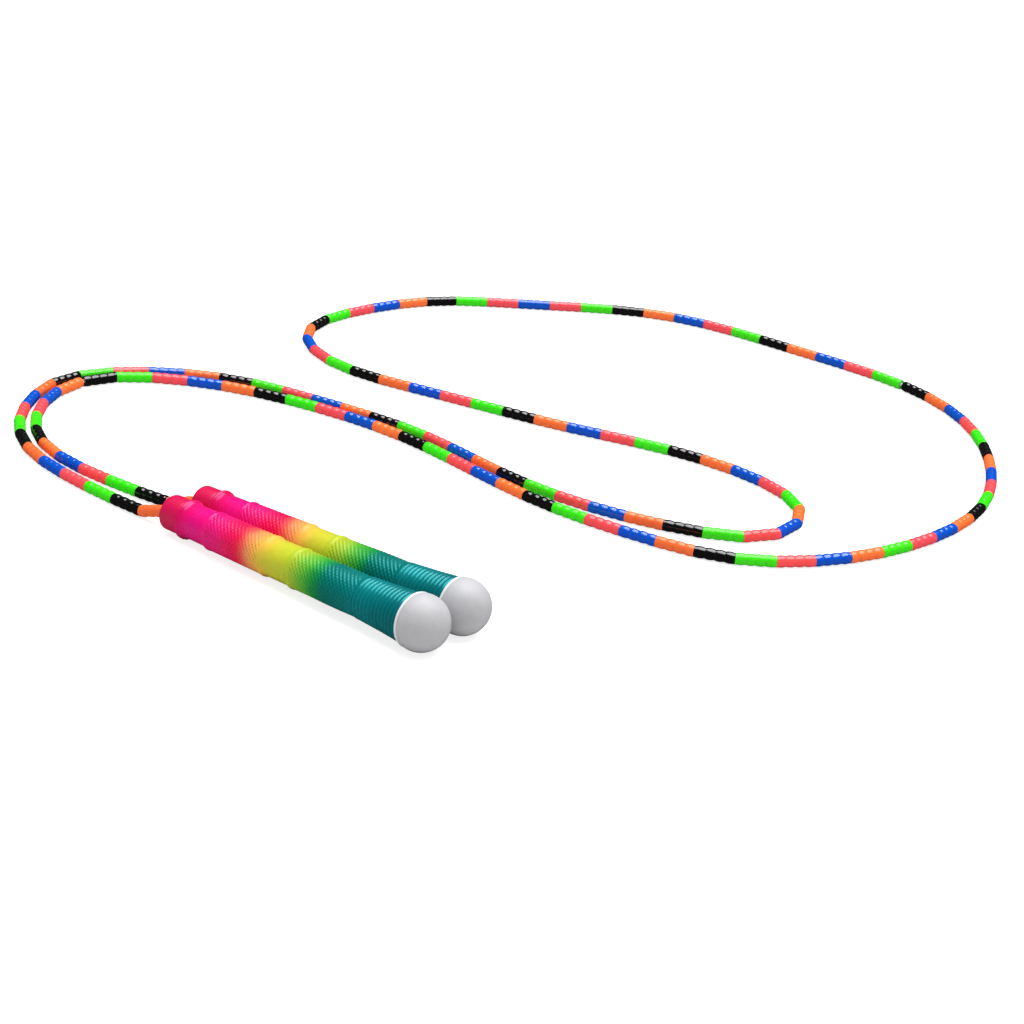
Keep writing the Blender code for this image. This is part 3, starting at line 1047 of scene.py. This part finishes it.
def build_floor():
    """A white floor, whose glow keeps its shadows pale and shows only faintly in gloss."""
    nodes = Nodes("floor_white")
    nodes.set(Base_Color=rgb(FLOOR_SEEN), Roughness=1.0, Specular_IOR_Level=0.0)
    nodes.set(Emission_Color=rgb(WHITE), Emission_Strength=FLOOR_GLOW)
    lit = nodes.new("ShaderNodeBsdfDiffuse", {"Color": rgb(FLOOR_LIT)})
    shiny = nodes.new("ShaderNodeEmission", {"Strength": FLOOR_IN_GLOSS})
    by_ray(nodes.tree, lit, nodes.shader, shiny, "Material Output")
    half = FLOOR_HALF
    corners = [(-half, -half, 0), (half, -half, 0), (half, half, 0), (-half, half, 0)]
    floor = add_mesh("floor", corners, [(0, 1, 2, 3)], [nodes.material], smooth=False)
    floor.location.z = -FLOOR_DROP


def build_light():
    scene = bpy.context.scene
    scene.view_settings.view_transform = "Standard"
    world = bpy.data.worlds.new("studio")
    scene.world = world
    world.use_nodes = True
    tree = world.node_tree
    lit = tree.nodes["Background"]
    seen, shiny = (tree.nodes.new("ShaderNodeBackground") for _ in range(2))
    for node, strength in ((lit, SKY_STRENGTH), (seen, 1.0), (shiny, SKY_IN_GLOSS)):
        node.inputs["Color"].default_value = rgb(WHITE)
        node.inputs["Strength"].default_value = strength
    by_ray(tree, lit, seen, shiny, "World Output")
    data = bpy.data.lights.new("overhead", "SUN")
    data.energy = SUN_STRENGTH
    data.angle = math.radians(SUN_WIDTH)
    light = bpy.data.objects.new("overhead", data)
    scene.collection.objects.link(light)
    light.rotation_mode = "QUATERNION"
    light.rotation_quaternion = (-Vector(SUN_FROM)).to_track_quat("-Z", "Y")


# ---- Build ---------------------------------------------------------------------------

build_camera()
handles = handle_matrices()
rope_beads = bead_ends()
braided = cord_material()
cord, cord_line = build_cord(rope_beads, handles, braided)
knots = [build_knot(letter, handles[letter], braided) for letter in "ab"]
bead_materials = {letter: bead_material(letter) for letter in BEAD_LOOKS}
runs = [build_run(rope_beads, first, last, bead_materials) for first, last in bead_runs()]

dyed = grip_material()
crimson = moulded_material(
    "collar_crimson", COLLAR_CRIMSON, roughness=(0.28, 0.38), grain_scale=1800.0, shine=0.40
)
white = moulded_material(
    "ball_white", BALL_WHITE, roughness=(0.40, 0.50), grain_scale=1400.0, shine=0.30
)
# the rim: a brighter copy of the ball's white, as a painted highlight
rim_highlight_white = moulded_material(
    "rim_highlight_white", RIM_HIGHLIGHT_WHITE, roughness=(0.20, 0.28), grain_scale=1400.0, shine=0.50
)
steel = steel_material()
for letter, handle in handles.items():
    build_grip(letter, handle, dyed)
    turned_piece(
        f"mouthpiece_{letter}",
        collar_profile(),
        letter,
        handle,
        [crimson],
        f"collar_{letter}",
        sides=TURNED_SIDES,
    )
    turned_piece(
        f"ball_end_{letter}",
        ball_profile(),
        letter,
        handle,
        [white, rim_highlight_white],
        f"ball_cap_{letter}",
        sides=BALL_SIDES,
        second=len(rim_profile()) - 1,
    )
    washer = frame["nodes"][f"washer_{letter}"]
    washer.data.materials.clear()
    washer.data.materials.append(steel)

build_floor()
build_light()
